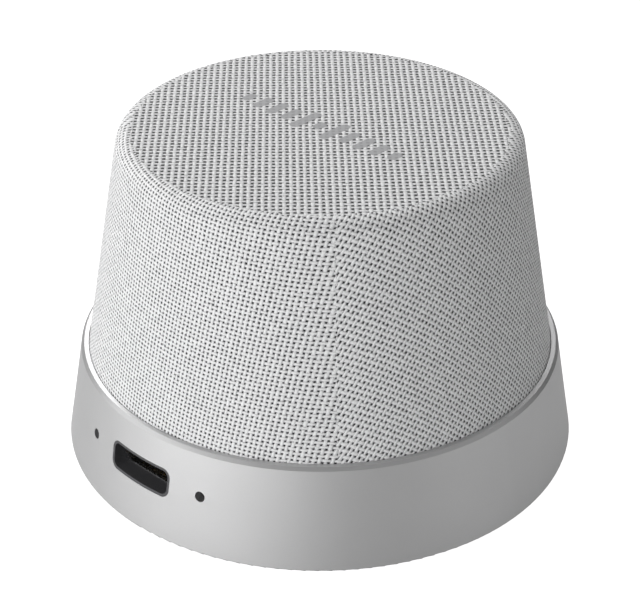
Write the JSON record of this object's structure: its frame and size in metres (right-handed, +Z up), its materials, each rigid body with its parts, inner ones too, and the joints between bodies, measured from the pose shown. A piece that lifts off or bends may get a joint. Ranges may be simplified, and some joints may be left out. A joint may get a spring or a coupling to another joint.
{
  "type": "smart speaker",
  "caption": "Small cone-shaped wireless speaker in light grey woven cloth on a satin metal base ring, with a charging socket and rear keys.",
  "frame": {"origin": "centre of the foot's underside, on the resting plane", "axes": "+Z up through the speaker's axis; the charging socket faces -Y and the keys face +Y"},
  "size_m": [0.06, 0.06, 0.0387],
  "materials": {
    "trim_metal": "satin bead-blasted, bright chamfer",
    "cloth": "light grey plain weave",
    "housing_plastic": "matt moulded",
    "grille_metal": "black powder coat",
    "basket_metal": "black e-coat",
    "soft_steel": "zinc plated",
    "magnet_plating": "nickel plated",
    "screw_steel": "black zinc",
    "foot_rubber": "soft matt silicone",
    "seal_foam": "closed-cell foam",
    "surround_rubber": "satin rubber",
    "cone_paper": "treated paper",
    "spider_cloth": "resin-dipped cloth",
    "former_film": "polyimide film",
    "copper": "enamelled copper",
    "circuit_board": "green solder mask",
    "chip_plastic": "moulded epoxy",
    "ceramic": "ceramic",
    "tin_plate": "tinned",
    "socket_steel": "stainless",
    "socket_plastic": "glass-filled nylon",
    "gold": "gold flash",
    "bezel_plastic": "matt dark grey",
    "plug_plastic": "natural nylon",
    "smoked_plastic": "smoked, translucent",
    "light_resin": "clear resin",
    "mesh_steel": "woven mesh",
    "key_plastic": "satin, metallic paint",
    "switch_plastic": "moulded nylon",
    "plunger_plastic": "moulded nylon",
    "cell_pouch": "laminated pouch",
    "lead_insulation": "silicone insulation"
  },
  "bodies": {
    "housing": {"base_ring": "trim_metal", "base_screws": "screw_steel", "base_tray": "housing_plastic", "battery_cell": "cell_pouch", "battery_guard": "circuit_board", "battery_leads": "lead_insulation", "battery_plug": "plug_plastic", "battery_tape": "seal_foam", "board_capacitors": "ceramic", "board_chips": "chip_plastic", "board_inductors": "chip_plastic", "board_screws": "screw_steel", "chamber_seal": "seal_foam", "chip_antenna": "ceramic", "cloth_cover": "cloth", "cone_housing": "housing_plastic", "driver_basket": "basket_metal", "driver_gasket": "seal_foam", "driver_magnet": "magnet_plating", "driver_screws": "screw_steel", "driver_yoke": "soft_steel", "foot_pad": "foot_rubber", "frame_screws": "screw_steel", "grille_plate": "grille_metal", "key_board": "circuit_board", "key_header": "plug_plastic", "lead_grommet": "seal_foam", "light_pipe": "smoked_plastic", "magnet_segments": "magnet_plating", "magnet_shunt": "soft_steel", "main_board": "circuit_board", "microphone": "tin_plate", "microphone_boot": "seal_foam", "microphone_mesh": "mesh_steel", "middle_frame": "housing_plastic", "pole_plate": "soft_steel", "port_bezel": "bezel_plastic", "shield_can": "tin_plate", "socket_contacts": "gold", "socket_shell": "socket_steel", "socket_tongue": "socket_plastic", "speaker_leads": "lead_insulation", "speaker_plug": "plug_plastic", "spider": "spider_cloth", "status_light": "light_resin", "surround": "surround_rubber", "switch_bodies": "switch_plastic", "terminal_board": "circuit_board", "terminal_tags": "copper"},
    "cone": {"speaker_cone": "cone_paper", "dust_cap": "cone_paper", "coil_former": "former_film", "coil_winding": "copper"},
    "volume_down_button": {"volume_down_key": "key_plastic", "volume_down_plunger": "plunger_plastic"},
    "power_button": {"power_key": "key_plastic", "power_plunger": "plunger_plastic"},
    "volume_up_button": {"volume_up_key": "key_plastic", "volume_up_plunger": "plunger_plastic"}
  },
  "joints": [
    {"name": "cone_travel", "type": "slide", "parent": "housing", "child": "cone", "axis": [0, 0, 1], "range_m": [-0.0008, 0.0008], "stiffness_N_per_m": 1500, "deforming": ["surround", "spider"]},
    {"name": "volume_down_press", "type": "slide", "parent": "housing", "child": "volume_down_button", "axis": [0, -1, 0], "range_m": [0, 0.0003], "stiffness_N_per_m": 1500},
    {"name": "power_press", "type": "slide", "parent": "housing", "child": "power_button", "axis": [0, -1, 0], "range_m": [0, 0.0003], "stiffness_N_per_m": 1500},
    {"name": "volume_up_press", "type": "slide", "parent": "housing", "child": "volume_up_button", "axis": [0, -1, 0], "range_m": [0, 0.0003], "stiffness_N_per_m": 1500}
  ]
}
